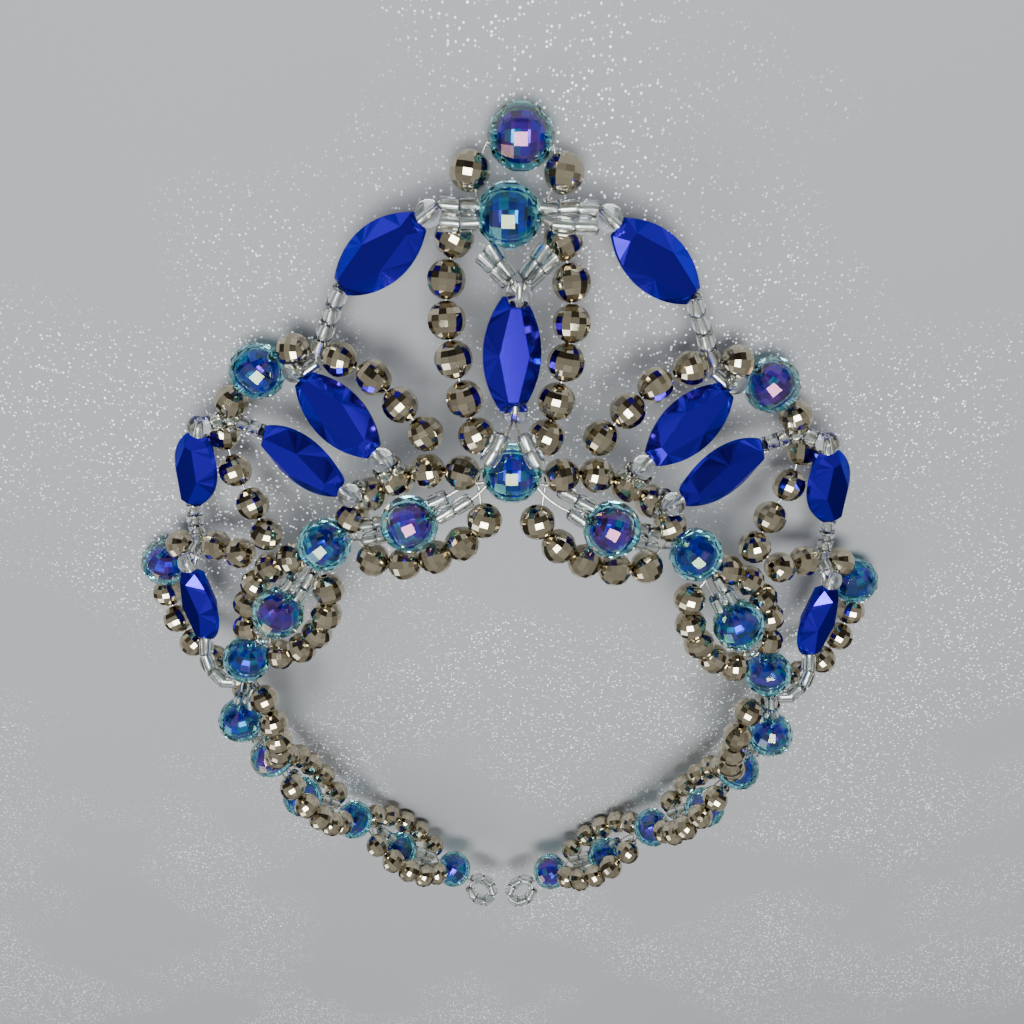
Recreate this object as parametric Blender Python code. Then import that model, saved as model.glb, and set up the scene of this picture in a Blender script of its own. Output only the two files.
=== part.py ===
"""Beaded tiara lying on its back: a headband of round beads and ringed beads that carries a crown of
arched strands, round beads and pointed oval beads.

The tables below are in millimetres for the wearer's right half, seen with the crown's peak towards +Y,
and the left half mirrors them. They start from the bead at the middle of the headband's front.
"""

import math

import bmesh
import bpy
from mathutils import Matrix, Vector

MM = 0.001
BAND_FRONT_Y = 59.67  # from the origin to the bead at the middle of the headband's front
LIFT = 0.31  # raises the lowest facets onto the surface

ROUND_BEAD_RADIUS = 5.0
ROUND_BEAD_SIDES = 10
ROUND_BEAD_BANDS = 5
METAL_BEAD_RADIUS = 2.9
METAL_BEAD_SIDES = 10
METAL_BEAD_PITCH = 6.1  # between the beads of a ring's row
METAL_WIDEST = 0.97  # a metal bead's widest rings against its radius
SHOULDER = 0.45  # they lie this share of its radius before and after its middle
CLOSE_BEADS = 7.2  # metal beads nearer than this meet in one waist
END_ROOM = 1.2  # a strand's last bead narrows to the wire where this share of its radius is free
WIRE_RADIUS = 0.7
SEED_RADIUS = 1.4  # clear seed beads, as a plain tube
SEED_SIDES = 6
BEAD_GAP = 0.35  # from a strand's end to the bead that it is threaded into

OVAL_LENGTH = 17.5
OVAL_WIDTH = 9.0
OVAL_THICKNESS = 5.0
OVAL_TIP_WIDTH = 3.2
TIP_LEAD = 1.9  # seed beads run straight for this far before an oval's tip
OVAL_OUTLINE_STEPS = 5  # straight edges along each side of an oval
TABLE_SHARE = 0.5  # an oval's flat table against its outline

RING_HALF_LENGTH = 14.2
KNOT_DEPTH = 1.1  # the wires of a ring's rows meet this far inside its seed beads
CROWN_LEAN = -1.5  # the crown's middle leans to the wearer's left this much at the upper bead
LEAN_FULL_Y = 33.0
PEAK_Y = 47.2  # and it is upright again here

COLOURS = {
    "round_bead": ((0.02, 0.16, 0.55), 0.12, 0.0),
    "oval_bead": ((0.005, 0.01, 0.50), 0.15, 0.4),
    "metal_bead": ((0.45, 0.41, 0.34), 0.15, 1.0),
    "seed_bead": ((0.80, 0.82, 0.82), 0.10, 0.0),
}

# Beads threaded end to end along the headband, from its front to its end: name, x, y, z
BAND_BEADS = (
    ("band_bead_0", 0.0, 0.0, 23.6),
    ("band_bead_1", 33.4, -20.3, 20.3),
    ("band_bead_2", 53.3, -54.3, 19.2),
    ("band_bead_3", 54.9, -93.4, 16.5),
    ("band_bead_4", 39.4, -129.1, 11.6),
    ("band_bead_5", 13.9, -158.8, 9.2),
)

# Rings between them: name, roll in degrees (0 lies flat, 90 stands up), half width, shift of the ring's
# middle inwards, then the ringed bead: its shift inwards, its distance proud of the ring, and its slide
# towards the next bead
RINGS = (
    ("a", 27.0, 7.5, 1.4, 1.2, 4.3, -0.7),
    ("b", 24.0, 7.5, 0.9, 0.7, 4.2, -2.4),
    ("c", 52.0, 7.9, 0.8, 0.4, 4.4, -1.0),
    ("d", 73.0, 7.9, 0.0, 0.0, 3.6, 0.0),
    ("e", 78.0, 8.0, 0.0, 0.0, 2.6, 0.0),
)
RING_ROW_BEADS = 5
ELLIPSE_STEPS = 120  # fine steps that a row is measured in

# Round beads on the crown's edge: name, x, y, z, then x and y of the thread
CROWN_BEADS = (
    ("shoulder_bead", 44.1, 7.0, 6.2, 1.0, -1.0),
    ("flank_bead", 71.4, -41.6, 4.6, 0.3, -1.0),
)
CROWN_BEAD_ROLL = 18.0  # degrees on its thread, so that an edge points outwards
PEAK_BEAD = (0.0, PEAK_Y, 4.6)
UPPER_BEAD = (CROWN_LEAN, 37.6, 9.9)

# Oval beads: name, x, y, z of the middle, then the long axis, then the way its face looks
OVALS = (
    ("oval_top", 21.0, 31.0, 10.2, -0.73, 0.67, 0.10, 0.0, 0.5, 0.87),
    ("oval_front", 29.0, 5.4, 16.2, -0.72, -0.42, 0.56, 0.1, 0.6, 0.8),
    ("oval_inner", 35.8, -3.6, 17.2, -0.81, -0.24, 0.54, 0.35, 0.25, 0.88),
    ("oval_side", 57.0, -10.8, 11.4, 0.276, -0.957, -0.10, 0.4, 0.2, 0.9),
    ("oval_flank", 62.7, -44.7, 13.2, -0.04, -0.995, 0.10, 0.5, 0.1, 0.86),
)
OVAL_CENTRE = ("oval_centre", -0.5, 19.1, 18.3, 0.0, -0.89, 0.46, 0.17, 0.46, 0.89)

# Metal beads of each strand, in threading order: x, y, z
CENTRE_ARCH = (
    (5.5, 6.3, 22.0),
    (7.2, 11.9, 20.0),
    (8.7, 17.8, 18.0),
    (9.6, 23.0, 15.2),
    (9.5, 28.2, 12.1),
    (8.2, 33.4, 9.0),
    (6.9, 42.8, 6.6),
)
SHOULDER_STRAND = (
    (14.4, 3.5, 18.0),
    (18.6, 7.6, 16.0),
    (23.0, 10.8, 13.0),
    (28.9, 12.2, 10.0),
    (37.0, 12.1, 7.6),
)
FLANK_STRAND = (
    (50.0, 0.0, 5.6),
    (52.4, -6.4, 6.6),
    (50.5, -12.2, 9.8),
    (47.5, -17.4, 13.0),
    (45.0, -22.0, 16.2),
    (51.8, -29.6, 13.6),
    (57.6, -31.2, 10.0),
    (66.0, -34.2, 7.0),
)
REAR_STRAND = (
    (73.0, -50.5, 4.8),
    (71.2, -55.8, 7.5),
    (67.5, -59.4, 11.0),
    (62.5, -60.5, 14.5),
)
SHOULDER_FOOT = (14.1, 0.7, 19.1)  # where the first of these strands ends, by the first ring
END_LOOP_CENTRE = (5.9, -167.1, 11.0)
END_LOOP_LENGTH = 8.2  # between the middles of its seed beads, as its width is
END_LOOP_WIDTH = 5.2
END_LOOP_ROLL = 50.0  # degrees that the loop stands up from lying flat
END_LOOP_STEPS = 10
END_STEM_RADIUS = 1.0


def clear_scene():
    for obj in list(bpy.data.objects):
        bpy.data.objects.remove(obj, do_unlink=True)


def make_materials():
    made = {}
    for name, (colour, roughness, metallic) in COLOURS.items():
        material = bpy.data.materials.new(name)
        material.use_nodes = True
        shader = material.node_tree.nodes["Principled BSDF"]
        shader.inputs["Base Color"].default_value = (*colour, 1.0)
        shader.inputs["Roughness"].default_value = roughness
        shader.inputs["Metallic"].default_value = metallic
        made[name] = material
    return made


def point(x, y, z, side=1):
    """A table's row as a place in metres, mirrored for side -1."""
    return Vector((side * x, y + BAND_FRONT_Y, z + LIFT)) * MM


def leaning(row, side):
    """A place on the crown's middle, which leans most between the upper oval bead and the peak."""
    place = point(*row, side)
    rising = row[1] / LEAN_FULL_Y
    falling = (PEAK_Y - row[1]) / (PEAK_Y - LEAN_FULL_Y)
    place.x += CROWN_LEAN * MM * min(rising, falling, 1.0)
    return place


def toward(start, end, distance):
    """The place this far from start, in millimetres, on the way to end."""
    return start + (end - start).normalized() * distance * MM


def add_object(name, mesh, material):
    mesh.materials.clear()
    mesh.materials.append(material)
    obj = bpy.data.objects.new(name, mesh)
    bpy.context.scene.collection.objects.link(obj)
    return obj


def swept(stations, sides):
    """A closed tube through stations of (place, direction, radius)."""
    bm = bmesh.new()
    rings = []
    across = None
    for place, direction, radius in stations:
        direction = direction.normalized()
        if across is None:
            across = direction.orthogonal()
        across = (across - direction * across.dot(direction)).normalized()
        up = direction.cross(across)
        ring = []
        for step in range(sides):
            angle = 2.0 * math.pi * step / sides
            out = across * math.cos(angle) + up * math.sin(angle)
            ring.append(bm.verts.new(place + out * radius * MM))
        rings.append(ring)
    for first, second in zip(rings, rings[1:]):
        for step in range(sides):
            after = (step + 1) % sides
            bm.faces.new((first[step], first[after], second[after], second[step]))
    bm.faces.new(rings[0])
    bm.faces.new(rings[-1])
    bmesh.ops.recalc_face_normals(bm, faces=bm.faces)
    mesh = bpy.data.meshes.new("swept")
    bm.to_mesh(mesh)
    bm.free()
    return mesh


def tube(places, radius, sides=SEED_SIDES):
    """A tube of one radius through these places."""
    stations = []
    for index, place in enumerate(places):
        before = places[max(index - 1, 0)]
        after = places[min(index + 1, len(places) - 1)]
        stations.append((place, after - before, radius))
    return swept(stations, sides)


def beaded(start, beads, end):
    """Metal beads threaded on a wire that runs from start to end."""
    places = [start, *beads, end]
    stations = [(start, beads[0] - start, WIRE_RADIUS)]
    shoulder = SHOULDER * METAL_BEAD_RADIUS * MM
    edge = METAL_BEAD_RADIUS * MM
    for index, bead in enumerate(beads, start=1):
        along = (places[index + 1] - places[index - 1]).normalized()
        wide = METAL_WIDEST * METAL_BEAD_RADIUS
        if (bead - places[index - 1]).length > CLOSE_BEADS * MM:
            stations.append((bead - along * edge, along, WIRE_RADIUS))
        stations.append((bead - along * shoulder, along, wide))
        stations.append((bead + along * shoulder, along, wide))
        follows = places[index + 1]
        if index == len(beads):
            if (follows - bead).length > END_ROOM * edge:
                stations.append((bead + along * edge, along, WIRE_RADIUS))
        elif (follows - bead).length > CLOSE_BEADS * MM:
            stations.append((bead + along * edge, along, WIRE_RADIUS))
        else:
            stations.append(((bead + follows) / 2, follows - bead, WIRE_RADIUS))
    stations.append((end, end - beads[-1], WIRE_RADIUS))
    return swept(stations, METAL_BEAD_SIDES)


def fused(name, meshes, material):
    """One closed body made of meshes that overlap."""
    obj = add_object(name, meshes[0], material)
    for mesh in meshes[1:]:
        other = add_object("joining", mesh, material)
        union = obj.modifiers.new("union", "BOOLEAN")
        union.operation = "UNION"
        union.solver = "EXACT"
        union.object = other
        bpy.context.view_layer.update()
        graph = bpy.context.evaluated_depsgraph_get()
        joined = bpy.data.meshes.new_from_object(obj.evaluated_get(graph))
        obj.modifiers.clear()
        obj.data = joined
        bpy.data.objects.remove(other, do_unlink=True)
    return obj


def round_bead(name, place, thread, material, roll=0.0):
    """A faceted round bead whose poles lie on its thread, rolled on it in degrees."""
    bm = bmesh.new()
    bmesh.ops.create_uvsphere(
        bm,
        u_segments=ROUND_BEAD_SIDES,
        v_segments=ROUND_BEAD_BANDS,
        radius=ROUND_BEAD_RADIUS * MM,
    )
    mesh = bpy.data.meshes.new(name)
    bm.to_mesh(mesh)
    bm.free()
    obj = add_object(name, mesh, material)
    turn = thread.to_track_quat("Z", "Y").to_matrix().to_4x4()
    obj.matrix_world = Matrix.Translation(place) @ turn @ Matrix.Rotation(math.radians(roll), 4, "Z")
    return obj


def oval_outline(share):
    """One share of the pointed oval's outline: two equal arcs that meet at blunt tips."""
    half_length = OVAL_LENGTH / 2
    half_width = OVAL_WIDTH / 2
    tip = OVAL_TIP_WIDTH / 2
    rise = half_width - tip
    radius = (half_length**2 + rise**2) / (2 * rise)
    outline = []
    for side in (1, -1):
        for step in range(OVAL_OUTLINE_STEPS + 1):
            along = side * half_length * (1 - 2 * step / OVAL_OUTLINE_STEPS)
            across = math.sqrt(radius**2 - along**2) - radius + half_width
            outline.append((along * share, side * across * share))
    return outline


def oval_bead(name, row, side, material):
    """A pointed oval with a flat table on each face and slanting facets down to its girdle."""
    x, y, z, ax, ay, az, fx, fy, fz = row
    axis = Vector((side * ax, ay, az)).normalized()
    face = Vector((side * fx, fy, fz))
    face = (face - axis * face.dot(axis)).normalized()
    across = face.cross(axis)
    bm = bmesh.new()
    layers = []
    for share, height in ((TABLE_SHARE, -0.5), (1.0, 0.0), (TABLE_SHARE, 0.5)):
        layer = []
        for along, wide in oval_outline(share):
            layer.append(bm.verts.new(Vector((along, wide, height * OVAL_THICKNESS)) * MM))
        layers.append(layer)
    count = len(layers[0])
    for lower, upper in zip(layers, layers[1:]):
        for step in range(count):
            after = (step + 1) % count
            bm.faces.new((lower[step], lower[after], upper[after], upper[step]))
    bm.faces.new(layers[0])
    bm.faces.new(layers[-1])
    bmesh.ops.recalc_face_normals(bm, faces=bm.faces)
    mesh = bpy.data.meshes.new(name)
    bm.to_mesh(mesh)
    bm.free()
    obj = add_object(name, mesh, material)
    turn = Matrix((axis, across, face)).transposed().to_4x4()
    obj.matrix_world = Matrix.Translation(point(x, y, z, side)) @ turn
    return obj


def seeds_to_oval(start, row, side, end):
    """Seed beads from start to the tip of an oval, square onto it; end is 1 along its axis, or -1."""
    x, y, z, ax, ay, az = row[:6]
    axis = Vector((side * ax, ay, az)).normalized() * end
    tip = point(x, y, z, side) + axis * (OVAL_LENGTH / 2 + BEAD_GAP) * MM
    return tube([start, tip + axis * TIP_LEAD * MM, tip], SEED_RADIUS)


def ring_frame(index, side):
    """Start, end, middle, chain direction, row direction and proud direction of one ring."""
    roll, inwards = RINGS[index][1], RINGS[index][3]
    start = point(*BAND_BEADS[index][1:], side)
    end = point(*BAND_BEADS[index + 1][1:], side)
    chain = (end - start).normalized()
    inward = Vector((side * chain.y, -side * chain.x, 0.0)).normalized()
    up = chain.cross(inward) * side
    up = up if up.z > 0 else -up
    roll = math.radians(roll)
    row = inward * math.cos(roll) + up * math.sin(roll)
    out = up * math.cos(roll) - inward * math.sin(roll)
    middle = (start + end) / 2 + row * inwards * MM
    return start, end, middle, chain, row, out


def ringed_place(index, side):
    start, end, middle, chain, row, out = ring_frame(index, side)
    inwards, proud, slide = RINGS[index][4:]
    return (start + end) / 2 + (row * inwards + out * proud + chain * slide) * MM


def ellipse_row(middle, chain, row, half_width):
    """The metal beads of one row, evenly spaced about the middle of half an ellipse."""
    fine = []
    for step in range(ELLIPSE_STEPS + 1):
        angle = math.pi * (1 - step / ELLIPSE_STEPS)
        along = chain * math.cos(angle) * RING_HALF_LENGTH
        fine.append(middle + (along + row * math.sin(angle) * half_width) * MM)
    lengths = [0.0]
    for first, second in zip(fine, fine[1:]):
        lengths.append(lengths[-1] + (second - first).length)
    pitch = METAL_BEAD_PITCH * MM
    begin = (lengths[-1] - pitch * (RING_ROW_BEADS - 1)) / 2
    places = []
    for number in range(RING_ROW_BEADS):
        wanted = begin + number * pitch
        index = next(i for i, length in enumerate(lengths) if length >= wanted)
        places.append(fine[index])
    return places


def ring(index, side, suffix, material):
    """Two rows of metal beads round a ringed bead, and the seed beads that hold it."""
    name, width = RINGS[index][0], RINGS[index][2]
    start, end, middle, chain, row, out = ring_frame(index, side)
    held = ringed_place(index, side)
    reach = ROUND_BEAD_RADIUS + BEAD_GAP
    knots = [toward(start, end, reach + KNOT_DEPTH), toward(end, start, reach + KNOT_DEPTH)]
    inner, outer = [ellipse_row(middle, chain, row * way, width) for way in (1, -1)]
    meshes = [beaded(knots[0], inner, knots[1]), beaded(knots[0], outer, knots[1])]
    for bead, other, knot in ((start, end, knots[0]), (end, start, knots[1])):
        places = [toward(bead, other, reach), knot, toward(held, knot, reach)]
        meshes.append(tube(places, SEED_RADIUS))
    if index == 0:
        meshes.append(seeds_to_oval(outer[2], OVALS[1][1:], side, 1))
        meshes.append(seeds_to_oval(outer[3], OVALS[2][1:], side, 1))
    return fused(f"ring_{name}_{suffix}", meshes, material)


def centre_arch(side, suffix, material):
    """One leg of the middle arch, with the seed beads that hold the centre and top ovals."""
    beads = [leaning(row, side) for row in CENTRE_ARCH]
    foot = toward(point(*BAND_BEADS[0][1:]), beads[0], ROUND_BEAD_RADIUS + BEAD_GAP)
    peak = toward(point(*PEAK_BEAD), beads[-1], ROUND_BEAD_RADIUS + BEAD_GAP)
    leg = beaded(foot, beads, peak)
    crossing = (beads[-2] + beads[-1]) / 2
    upper = toward(point(*UPPER_BEAD), crossing, ROUND_BEAD_RADIUS + BEAD_GAP)
    meshes = [
        leg,
        seeds_to_oval(crossing, OVALS[0][1:], side, 1),
        tube([crossing, upper], SEED_RADIUS),
    ]
    held_from, end = (beads[-2], -1) if side < 0 else (beads[0], 1)
    meshes.append(seeds_to_oval(held_from, OVAL_CENTRE[1:], 1, end))
    return fused(f"centre_arch_{suffix}", meshes, material)


def shoulder_strand(side, suffix, material):
    """The strand from the first ring to the shoulder bead, and the seeds between two ovals."""
    beads = [point(*row, side) for row in SHOULDER_STRAND]
    foot = point(*SHOULDER_FOOT, side)
    shoulder = point(*CROWN_BEADS[0][1:4], side)
    end = toward(shoulder, beads[-1], ROUND_BEAD_RADIUS + BEAD_GAP)
    strand = beaded(foot, beads, end)
    crossing = (beads[-2] + beads[-1]) / 2
    seeds = [
        seeds_to_oval(crossing, OVALS[0][1:], side, -1),
        seeds_to_oval(crossing, OVALS[1][1:], side, -1),
    ]
    return fused(f"shoulder_strand_{suffix}", [strand, *seeds], material)


def flank_strand(side, suffix, material):
    """The strand from the shoulder bead to the flank bead, and the seeds that hold three ovals."""
    beads = [point(*row, side) for row in FLANK_STRAND]
    shoulder = point(*CROWN_BEADS[0][1:4], side)
    flank = point(*CROWN_BEADS[1][1:4], side)
    start = toward(shoulder, beads[0], ROUND_BEAD_RADIUS + BEAD_GAP)
    end = toward(flank, beads[-1], ROUND_BEAD_RADIUS + BEAD_GAP)
    strand = beaded(start, beads, end)
    high = (beads[0] + beads[1]) / 2
    low = (beads[-2] + beads[-1]) / 2
    seeds = [
        seeds_to_oval(high, OVALS[2][1:], side, -1),
        seeds_to_oval(high, OVALS[3][1:], side, -1),
        seeds_to_oval(low, OVALS[3][1:], side, 1),
        seeds_to_oval(low, OVALS[4][1:], side, -1),
    ]
    return fused(f"flank_strand_{suffix}", [strand, *seeds], material)


def rear_strand(side, suffix, material):
    """The strand from the flank bead back to the headband, and the seeds below the flank oval."""
    beads = [point(*row, side) for row in REAR_STRAND]
    flank = point(*CROWN_BEADS[1][1:4], side)
    band = point(*BAND_BEADS[2][1:], side)
    start = toward(flank, beads[0], ROUND_BEAD_RADIUS + BEAD_GAP)
    end = toward(band, beads[-1], ROUND_BEAD_RADIUS + BEAD_GAP)
    strand = beaded(start, beads, end)
    seeds = seeds_to_oval(beads[-1], OVALS[4][1:], side, 1)
    return fused(f"rear_strand_{suffix}", [strand, seeds], material)


def end_loop(side, suffix, material):
    """The small loop of seed beads at the headband's end, closed on itself, and its stem of wire."""
    centre = point(*END_LOOP_CENTRE, side)
    last = point(*BAND_BEADS[-1][1:], side)
    along = (centre - last).normalized()
    flat = Vector((0, 0, side)).cross(along).normalized()
    upright = flat.cross(along)
    upright = upright if upright.z > 0 else -upright
    roll = math.radians(END_LOOP_ROLL)
    across = flat * math.cos(roll) + upright * math.sin(roll)
    up = along.cross(across)
    places = []
    for step in range(END_LOOP_STEPS):
        angle = 2 * math.pi * step / END_LOOP_STEPS
        reach = along * math.cos(angle) * END_LOOP_LENGTH / 2
        places.append(centre + (reach + across * math.sin(angle) * END_LOOP_WIDTH / 2) * MM)
    bm = bmesh.new()
    rings = []
    for place in places:
        out = (place - centre).normalized()
        ring_points = []
        for turn in range(SEED_SIDES):
            angle = 2 * math.pi * turn / SEED_SIDES
            spoke = out * math.cos(angle) + up * math.sin(angle)
            ring_points.append(bm.verts.new(place + spoke * SEED_RADIUS * MM))
        rings.append(ring_points)
    for step in range(END_LOOP_STEPS):
        first, second = rings[step], rings[(step + 1) % END_LOOP_STEPS]
        for turn in range(SEED_SIDES):
            after = (turn + 1) % SEED_SIDES
            bm.faces.new((first[turn], first[after], second[after], second[turn]))
    bmesh.ops.recalc_face_normals(bm, faces=bm.faces)
    loop = bpy.data.meshes.new("loop")
    bm.to_mesh(loop)
    bm.free()
    begin = toward(last, centre, ROUND_BEAD_RADIUS + BEAD_GAP)
    stem = tube([begin, places[END_LOOP_STEPS // 2]], END_STEM_RADIUS)
    return fused(f"end_loop_{suffix}", [loop, stem], material)


def band_thread(index, side):
    """The direction of the thread through one of the headband's own beads."""
    before = point(*BAND_BEADS[max(index - 1, 0)][1:], side)
    after = point(*BAND_BEADS[min(index + 1, len(BAND_BEADS) - 1)][1:], side)
    return after - before


def build_band(side, suffix, materials):
    for index, (name, *place) in enumerate(BAND_BEADS):
        if index:
            thread = band_thread(index, side)
            round_bead(f"{name}_{suffix}", point(*place, side), thread, materials["round_bead"])
    for index, (name, *_) in enumerate(RINGS):
        chain = ring_frame(index, side)[3]
        place = ringed_place(index, side)
        round_bead(f"ringed_bead_{name}_{suffix}", place, chain, materials["round_bead"])
        ring(index, side, suffix, materials["metal_bead"])
    end_loop(side, suffix, materials["seed_bead"])


def build_crown(side, suffix, materials):
    blue = materials["round_bead"]
    for name, x, y, z, thread_x, thread_y in CROWN_BEADS:
        thread = Vector((side * thread_x, thread_y, 0))
        round_bead(f"{name}_{suffix}", point(x, y, z, side), thread, blue, CROWN_BEAD_ROLL)
    for name, *row in OVALS:
        oval_bead(f"{name}_{suffix}", row, side, materials["oval_bead"])
    for strand in (centre_arch, shoulder_strand, flank_strand, rear_strand):
        strand(side, suffix, materials["metal_bead"])


def main():
    clear_scene()
    materials = make_materials()
    blue = materials["round_bead"]
    sideways = Vector((1, 0, 0))
    round_bead("band_bead_0", point(*BAND_BEADS[0][1:]), sideways, blue)
    round_bead("peak_bead", point(*PEAK_BEAD), sideways, blue, CROWN_BEAD_ROLL)
    round_bead("upper_bead", point(*UPPER_BEAD), sideways, blue)
    oval_bead(OVAL_CENTRE[0], OVAL_CENTRE[1:], 1, materials["oval_bead"])
    for side, suffix in ((1, "right"), (-1, "left")):
        build_band(side, suffix, materials)
        build_crown(side, suffix, materials)


main()
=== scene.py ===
# A beaded wire tiara lying on its back, dressed with faceted beads, glass seed beads and wire.
import math
import random

import bpy
from mathutils import Matrix, Vector


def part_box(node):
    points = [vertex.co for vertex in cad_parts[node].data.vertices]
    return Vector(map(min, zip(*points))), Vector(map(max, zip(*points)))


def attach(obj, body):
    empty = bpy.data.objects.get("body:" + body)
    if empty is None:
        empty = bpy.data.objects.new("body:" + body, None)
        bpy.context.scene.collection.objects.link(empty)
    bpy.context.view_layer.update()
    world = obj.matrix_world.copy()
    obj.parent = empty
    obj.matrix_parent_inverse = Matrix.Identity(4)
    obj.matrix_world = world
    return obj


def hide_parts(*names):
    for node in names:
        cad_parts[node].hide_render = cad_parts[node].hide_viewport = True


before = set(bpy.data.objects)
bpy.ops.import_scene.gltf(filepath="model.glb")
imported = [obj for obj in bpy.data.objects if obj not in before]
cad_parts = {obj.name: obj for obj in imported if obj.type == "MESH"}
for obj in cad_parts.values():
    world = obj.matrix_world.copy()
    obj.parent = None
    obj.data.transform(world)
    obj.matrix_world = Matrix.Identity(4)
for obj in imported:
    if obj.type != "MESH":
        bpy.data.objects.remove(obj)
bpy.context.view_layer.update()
mm = 0.001
chance = random.Random(12)


def log(text):
    print("tiara:", text)


def linear(code):
    # an sRGB hex colour as linear values
    parts = [int(code[i : i + 2], 16) / 255 for i in (1, 3, 5)]
    return [p / 12.92 if p <= 0.04045 else ((p + 0.055) / 1.055) ** 2.4 for p in parts]


def addNode(tree, kind, settings=None, links=None):
    node = tree.nodes.new(kind)
    for key, value in (settings or {}).items():
        if key in node.inputs:
            node.inputs[key].default_value = value
        else:
            setattr(node, key, value)
    for key, socket in (links or {}).items():
        tree.links.new(socket, node.inputs[key])
    return node


def newMaterial(name):
    material = bpy.data.materials.new(name)
    material.use_nodes = True
    tree = material.node_tree
    return material, tree, tree.nodes["Principled BSDF"]


def setShader(shader, values):
    for key, value in values.items():
        shader.inputs[key].default_value = value


# Places

placing = {
    "frontHeight": 23.6,  # mm, the front bead's height in the tables below
    "lean": -1.5,  # mm, the crown's middle leans this way
    "leanFullY": 33.0,
    "peakY": 47.2,
}


def boxCentre(node):
    low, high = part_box(node)
    return (Vector(low) + Vector(high)) / 2


frontBead = boxCentre("band_bead_0")


def place(x, y, z, side=1):
    # mm from the front bead on the wearer's right, mirrored for side -1
    return frontBead + Vector((side * x, y, z - placing["frontHeight"])) * mm


def leaning(row, side):
    spot = place(*row, side)
    before = row[1] / placing["leanFullY"]
    after = (placing["peakY"] - row[1]) / (placing["peakY"] - placing["leanFullY"])
    spot.x += placing["lean"] * mm * min(before, after, 1.0)
    return spot


def toward(start, end, distance):
    return start + (end - start).normalized() * distance * mm


sideNames = {1: "right", -1: "left"}
sideWords = {1: "Right", -1: "Left"}


# Materials

platedSettings = {
    "base": "#cfc5ab",  # nickel-toned plate, a little warm
    "shade": "#877d69",
    "roughness": 0.06,
    "shares": (0.35, 1.0),  # from shade to base, facet by facet
}


def makePlatedAcrylic():
    # vacuum-plated acrylic: mirror facets with a warm grey cast, each a shade apart
    material, tree, shader = newMaterial("platedAcrylic")
    tint = addNode(tree, "ShaderNodeVertexColor", {"layer_name": "facetTint"})
    colour = addNode(tree, "ShaderNodeMix", {"data_type": "RGBA"})
    colour.inputs[6].default_value = (*linear(platedSettings["shade"]), 1)
    colour.inputs[7].default_value = (*linear(platedSettings["base"]), 1)
    tree.links.new(tint.outputs["Color"], colour.inputs[0])
    tree.links.new(colour.outputs[2], shader.inputs["Base Color"])
    setShader(shader, {"Metallic": 1.0, "Roughness": platedSettings["roughness"]})
    return material


shellSettings = {
    "base": "#92f2fc",  # aqua tint that the rim gathers
    "ior": 1.49,  # cast acrylic
    "roughness": 0.02,
    "filmIor": 1.7,
    "films": {"Mint": 300.0, "Rose": 410.0, "Pearl": 240.0},  # nm, the glint's colour on each bead
}


def makeAquaAcrylic(word, thickness):
    # clear aqua acrylic with a vapour-laid pearly coat: clear in the middle, teal at the rim
    material, tree, shader = newMaterial(f"aquaAcrylic{word}")
    setShader(
        shader,
        {
            "Base Color": (*linear(shellSettings["base"]), 1),
            "Transmission Weight": 1.0,
            "IOR": shellSettings["ior"],
            "Roughness": shellSettings["roughness"],
            "Thin Film Thickness": thickness,
            "Thin Film IOR": shellSettings["filmIor"],
        },
    )
    return material


coreFinish = {"metallic": 0.6, "roughness": 0.18}


def makeCobaltCore():
    # cobalt acrylic core under the clear shell: deep blue facets with violet and azure ones among them
    material, tree, shader = newMaterial("cobaltCore")
    tint = addNode(tree, "ShaderNodeVertexColor", {"layer_name": "facetTint"})
    tree.links.new(tint.outputs["Color"], shader.inputs["Base Color"])
    setShader(shader, {"Metallic": coreFinish["metallic"], "Roughness": coreFinish["roughness"]})
    return material


ovalFinish = {
    "base": "#4200f0",
    "deep": "#180068",
    "edge": "#2c20c0",  # what the plate turns to at a grazing look
    "metallic": 0.92,
    "roughness": 0.16,
    "coat": 0.05,
    "coatRoughness": 0.05,
    "shares": (0.3, 1.0),  # from deep to base, facet by facet
}


def makeFoiledAcrylic():
    # foil-backed royal blue acrylic: opaque and metallic, under a clear polished face
    material, tree, shader = newMaterial("foiledAcrylic")
    tint = addNode(tree, "ShaderNodeVertexColor", {"layer_name": "facetTint"})
    colour = addNode(tree, "ShaderNodeMix", {"data_type": "RGBA"})
    colour.inputs[6].default_value = (*linear(ovalFinish["deep"]), 1)
    colour.inputs[7].default_value = (*linear(ovalFinish["base"]), 1)
    tree.links.new(tint.outputs["Color"], colour.inputs[0])
    tree.links.new(colour.outputs[2], shader.inputs["Base Color"])
    setShader(
        shader,
        {
            "Metallic": ovalFinish["metallic"],
            "Roughness": ovalFinish["roughness"],
            "Specular Tint": (*linear(ovalFinish["edge"]), 1),
            "Coat Weight": ovalFinish["coat"],
            "Coat Roughness": ovalFinish["coatRoughness"],
        },
    )
    return material


seedFinish = {
    "glass": "#f4fafa",
    "glassIor": 1.5,  # soda glass
    "glassRoughness": 0.03,
    "silver": "#faf9f4",
    "silverRoughness": 0.3,
}


def makeSeedGlass():
    # clear drawn glass: bends the pale floor and shows bright streaks
    material, tree, shader = newMaterial("seedGlass")
    setShader(
        shader,
        {
            "Base Color": (*linear(seedFinish["glass"]), 1),
            "Transmission Weight": 1.0,
            "IOR": seedFinish["glassIor"],
            "Roughness": seedFinish["glassRoughness"],
        },
    )
    return material


def makeSilverLining():
    # silvered bore of a seed bead: a bright rough thread inside the glass
    material, tree, shader = newMaterial("silverLining")
    setShader(
        shader,
        {
            "Base Color": (*linear(seedFinish["silver"]), 1),
            "Metallic": 1.0,
            "Roughness": seedFinish["silverRoughness"],
        },
    )
    return material


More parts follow.
